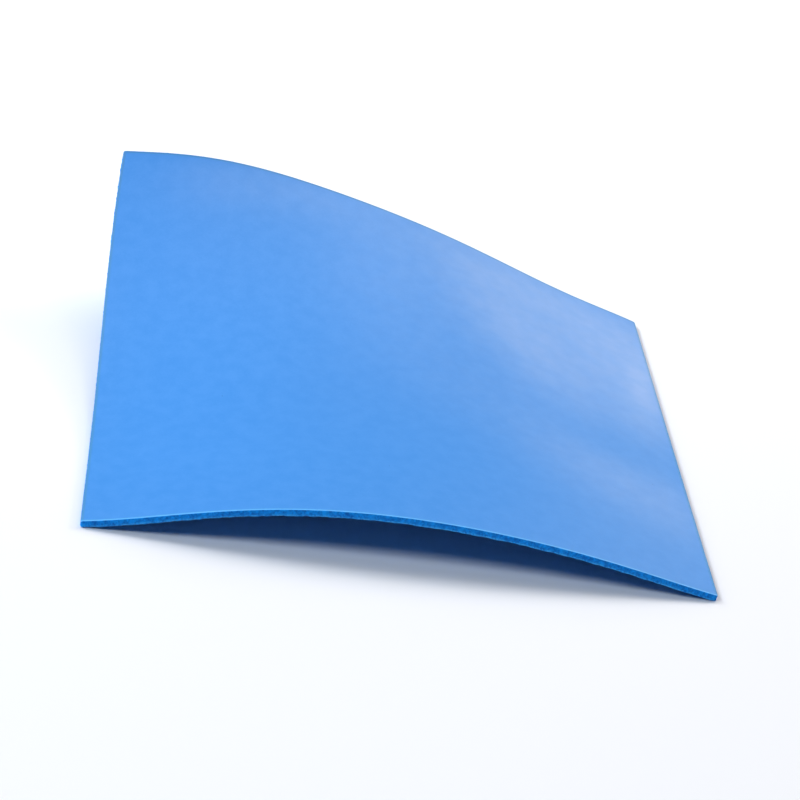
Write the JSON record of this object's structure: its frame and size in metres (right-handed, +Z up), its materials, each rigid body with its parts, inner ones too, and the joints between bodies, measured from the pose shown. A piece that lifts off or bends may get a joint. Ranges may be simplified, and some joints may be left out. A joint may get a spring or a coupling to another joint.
{
  "type": "thermal pad sheet",
  "caption": "Square soft silicone gap-filler sheet for cooling electronics, thin and knife-cut, lying bowed with one far corner curled up.",
  "frame": {"origin": "middle of the footprint's bounding box, on the level surface that the sheet lies on", "axes": "+Z up, through the sheet's thickness; +X to the right along the near cut edge; +Y away from the viewer, towards the curled far edge"},
  "size_m": [0.099, 0.1, 0.0237],
  "materials": {
    "silicone": "matt blue silicone with a soft sheen"
  },
  "bodies": {
    "root": {"thermal_pad": "silicone"}
  },
  "joints": []
}
